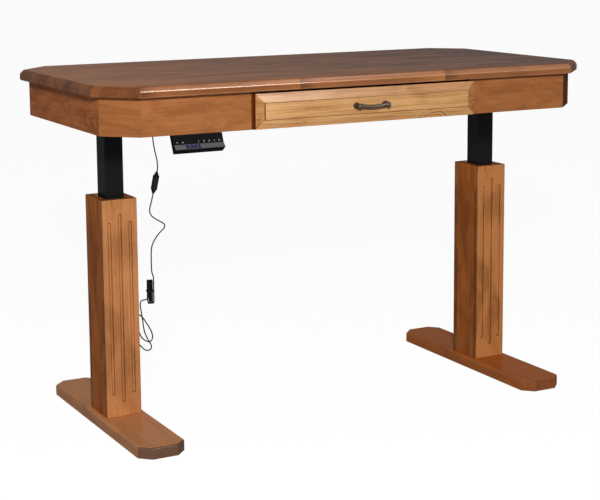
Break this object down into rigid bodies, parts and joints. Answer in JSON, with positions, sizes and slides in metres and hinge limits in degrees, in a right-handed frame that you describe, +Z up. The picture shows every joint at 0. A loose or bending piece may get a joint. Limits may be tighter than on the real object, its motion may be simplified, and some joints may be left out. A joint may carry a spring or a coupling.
{
  "type": "height-adjustable standing desk",
  "caption": "Wooden standing desk on lifting columns in fluted leg sleeves, with clipped corners, a raised-panel drawer, a key handset under the apron and a hanging supply lead.",
  "frame": {"origin": "on the floor under the middle of the whole desk, with the drawer shut and its pull included", "axes": "+Z up, the front with the drawer towards -Y, +X to the right as seen from the front"},
  "size_m": [1.524, 0.78, 0.972],
  "materials": {
    "top_wood": "stained, satin varnish",
    "front_wood": "stained, satin varnish",
    "side_wood": "stained, satin varnish",
    "drawer_wood": "stained, satin varnish",
    "box_wood": "clear lacquer",
    "black_steel": "satin powder coat",
    "zinc_steel": "zinc plated",
    "bright_steel": "rolled and greased",
    "drive_housing": "black painted casting",
    "dark_bronze": "dark oiled bronze",
    "black_plastic": "fine texture",
    "handset_plastic": "satin gloss",
    "display_window": "polished",
    "key_plastic": "soft satin with light marks",
    "glide_nylon": "moulded",
    "cord_rubber": "satin",
    "plug_plastic": "moulded"
  },
  "bodies": {
    "left_base": {"left_foot": "front_wood", "left_glides": "glide_nylon", "left_foot_bolts": "zinc_steel", "left_outer_tube": "black_steel", "left_collar": "black_plastic", "left_nut_tube": "zinc_steel", "left_sleeve_front": "front_wood", "left_sleeve_back": "front_wood", "left_sleeve_sides": "side_wood"},
    "top": {"left_inner_tube": "black_steel", "right_inner_tube": "black_steel", "left_drive": "drive_housing", "right_drive": "drive_housing", "left_bracket": "black_steel", "right_bracket": "black_steel", "desktop": "top_wood", "apron_front_left": "front_wood", "apron_front_right": "front_wood", "apron_left": "side_wood", "apron_right": "side_wood", "apron_back": "front_wood", "apron_corners": "side_wood", "cross_rails": "black_steel", "bracket_screws": "zinc_steel", "control_box": "black_plastic", "drawer_cheeks": "box_wood", "slide_cabinet_members": "zinc_steel", "handset_housing": "handset_plastic", "handset_display": "display_window", "cord_pigtail": "cord_rubber", "cord_connector": "cord_rubber", "cord_lead": "cord_rubber", "cord_hank": "cord_rubber", "cord_tail": "cord_rubber", "cord_plug": "plug_plastic"},
    "right_base": {"right_foot": "front_wood", "right_glides": "glide_nylon", "right_foot_bolts": "zinc_steel", "right_outer_tube": "black_steel", "right_collar": "black_plastic", "right_nut_tube": "zinc_steel", "right_sleeve_front": "front_wood", "right_sleeve_back": "front_wood", "right_sleeve_sides": "side_wood"},
    "left_screw": {"left_lead_screw": "bright_steel"},
    "right_screw": {"right_lead_screw": "bright_steel"},
    "slide_middles": {"slide_middle_members": "zinc_steel"},
    "drawer": {"drawer_front": "drawer_wood", "drawer_sides": "box_wood", "drawer_back": "box_wood", "drawer_bottom": "box_wood", "drawer_pull": "dark_bronze", "slide_drawer_members": "zinc_steel"},
    "button_up": {"key_up": "key_plastic"},
    "button_down": {"key_down": "key_plastic"},
    "button_1": {"key_1": "key_plastic"},
    "button_2": {"key_2": "key_plastic"},
    "button_3": {"key_3": "key_plastic"},
    "button_4": {"key_4": "key_plastic"},
    "button_m": {"key_m": "key_plastic"}
  },
  "joints": [
    {"name": "lift", "type": "slide", "parent": "left_base", "child": "top", "axis": [0, 0, 1], "range_m": [-0.18, 0.27]},
    {"name": "right_leg", "type": "slide", "parent": "top", "child": "right_base", "axis": [0, 0, -1], "range_m": [-0.18, 0.27]},
    {"name": "left_screw_spin", "type": "hinge", "parent": "top", "child": "left_screw", "pos_m": [-0.6095, 0, 0], "axis": [0, 0, 1], "range_deg": [-6480, 9720]},
    {"name": "right_screw_spin", "type": "hinge", "parent": "top", "child": "right_screw", "pos_m": [0.6095, 0, 0], "axis": [0, 0, 1], "range_deg": [-6480, 9720]},
    {"name": "drawer_slide", "type": "slide", "parent": "top", "child": "drawer", "axis": [0, -1, 0], "range_m": [0, 0.25]},
    {"name": "slide_middle", "type": "slide", "parent": "top", "child": "slide_middles", "axis": [0, -1, 0], "range_m": [0, 0.125]},
    {"name": "press_up", "type": "slide", "parent": "top", "child": "button_up", "axis": [0, 0.9231, -0.3846], "range_m": [0, 0.001], "stiffness_N_per_m": 800, "springref_m": -0.001},
    {"name": "press_down", "type": "slide", "parent": "top", "child": "button_down", "axis": [0, 0.9231, -0.3846], "range_m": [0, 0.001], "stiffness_N_per_m": 800, "springref_m": -0.001},
    {"name": "press_1", "type": "slide", "parent": "top", "child": "button_1", "axis": [0, 0.9231, -0.3846], "range_m": [0, 0.001], "stiffness_N_per_m": 800, "springref_m": -0.001},
    {"name": "press_2", "type": "slide", "parent": "top", "child": "button_2", "axis": [0, 0.9231, -0.3846], "range_m": [0, 0.001], "stiffness_N_per_m": 800, "springref_m": -0.001},
    {"name": "press_3", "type": "slide", "parent": "top", "child": "button_3", "axis": [0, 0.9231, -0.3846], "range_m": [0, 0.001], "stiffness_N_per_m": 800, "springref_m": -0.001},
    {"name": "press_4", "type": "slide", "parent": "top", "child": "button_4", "axis": [0, 0.9231, -0.3846], "range_m": [0, 0.001], "stiffness_N_per_m": 800, "springref_m": -0.001},
    {"name": "press_m", "type": "slide", "parent": "top", "child": "button_m", "axis": [0, 0.9231, -0.3846], "range_m": [0, 0.001], "stiffness_N_per_m": 800, "springref_m": -0.001}
  ],
  "couplings": [
    {"joint": "right_leg", "follows": "lift", "ratio": 1},
    {"joint": "left_screw_spin", "follows": "lift", "rad_per_m": 628.32},
    {"joint": "right_screw_spin", "follows": "lift", "rad_per_m": 628.32},
    {"joint": "slide_middle", "follows": "drawer_slide", "ratio": 0.5}
  ]
}
